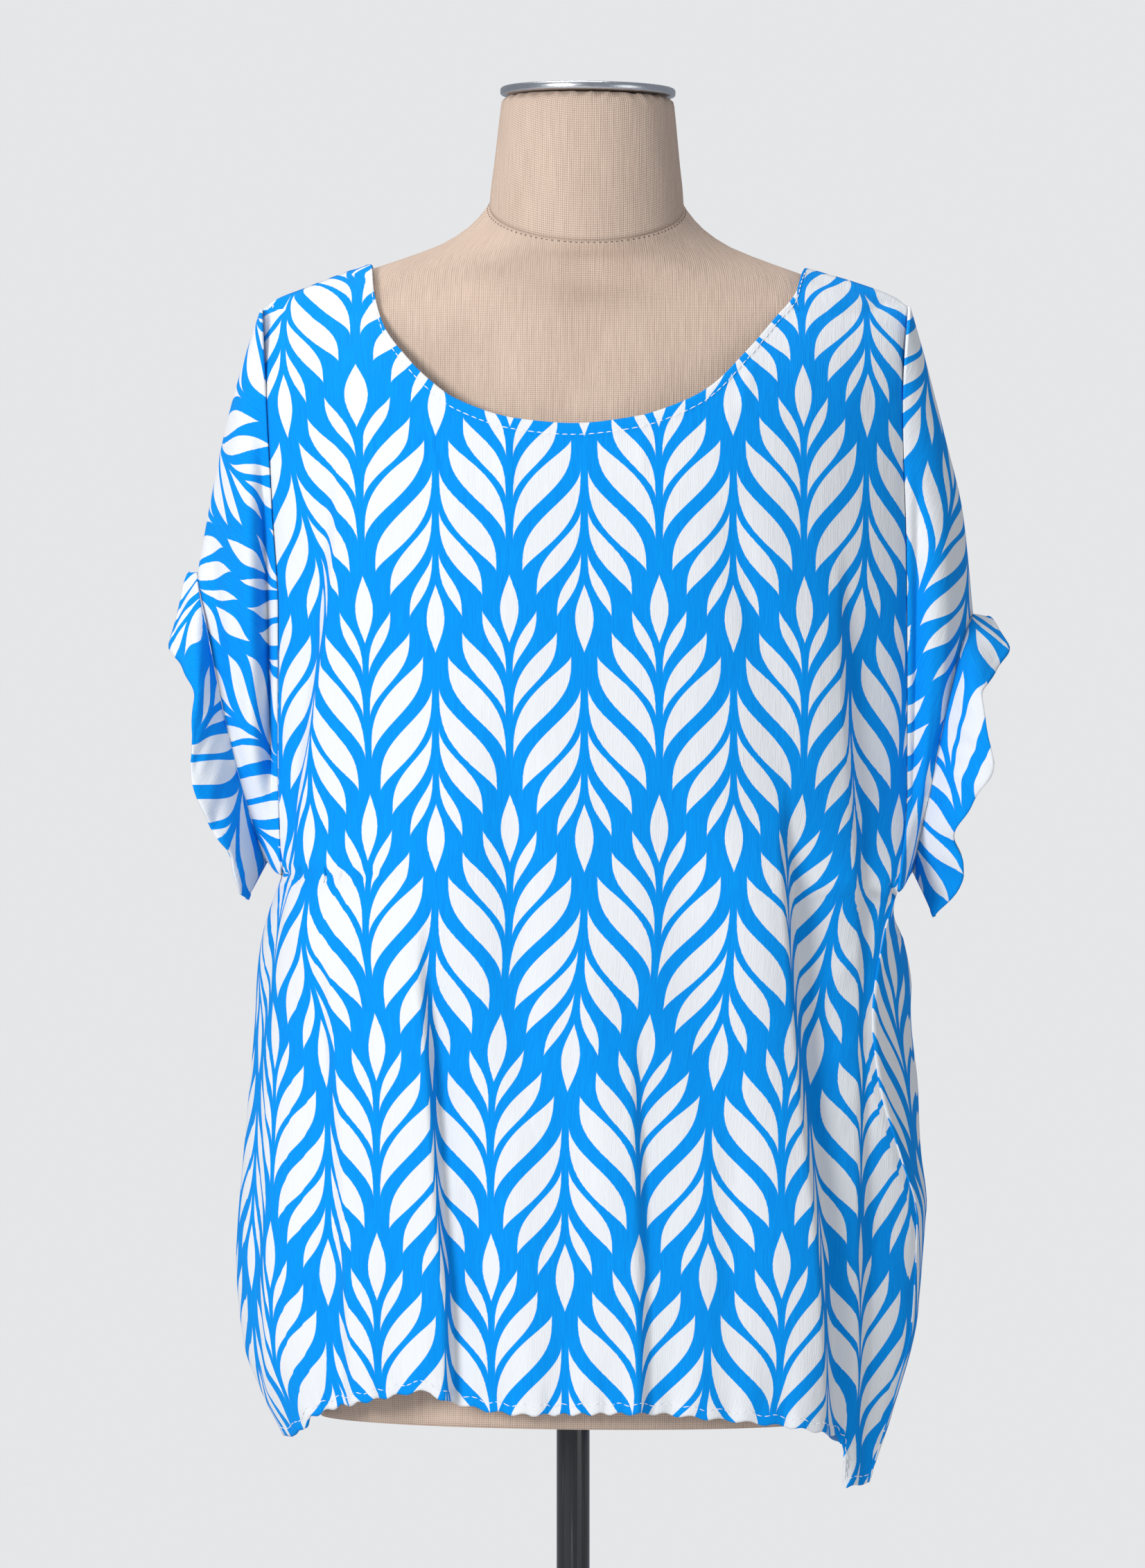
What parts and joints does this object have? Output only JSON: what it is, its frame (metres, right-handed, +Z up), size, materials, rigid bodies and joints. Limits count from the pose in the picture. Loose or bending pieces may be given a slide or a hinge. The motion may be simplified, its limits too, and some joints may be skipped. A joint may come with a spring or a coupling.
{
  "type": "short-sleeve blouse on a limbless dress form with a stand",
  "caption": "Loose short-sleeve blouse with scoop neck, turned-up flared cuffs and a pointed gathered hem, hanging on a linen torso form on a post and round base.",
  "frame": {"origin": "middle of the base plate's underside, on the floor", "axes": "+Z up along the post; the front of the blouse looks along -Y; +X is the viewer's right"},
  "size_m": [0.5278, 0.32, 1.5844],
  "materials": {
    "printed_viscose": "soft plain-weave viscose printed with white leaf sprigs on azure blue",
    "linen": "beige linen plain weave, matt, with darker slubs",
    "brushed_steel": "brushed steel disc with a rounded rim",
    "dark_steel": "black gloss tube and plate"
  },
  "bodies": {
    "root": {"front": "printed_viscose", "back": "printed_viscose", "sleeve_left": "printed_viscose", "sleeve_right": "printed_viscose", "cuff_left": "printed_viscose", "cuff_right": "printed_viscose", "form_body": "linen", "form_neck": "linen", "neck_cap": "brushed_steel", "post": "dark_steel", "base": "dark_steel"}
  },
  "joints": []
}
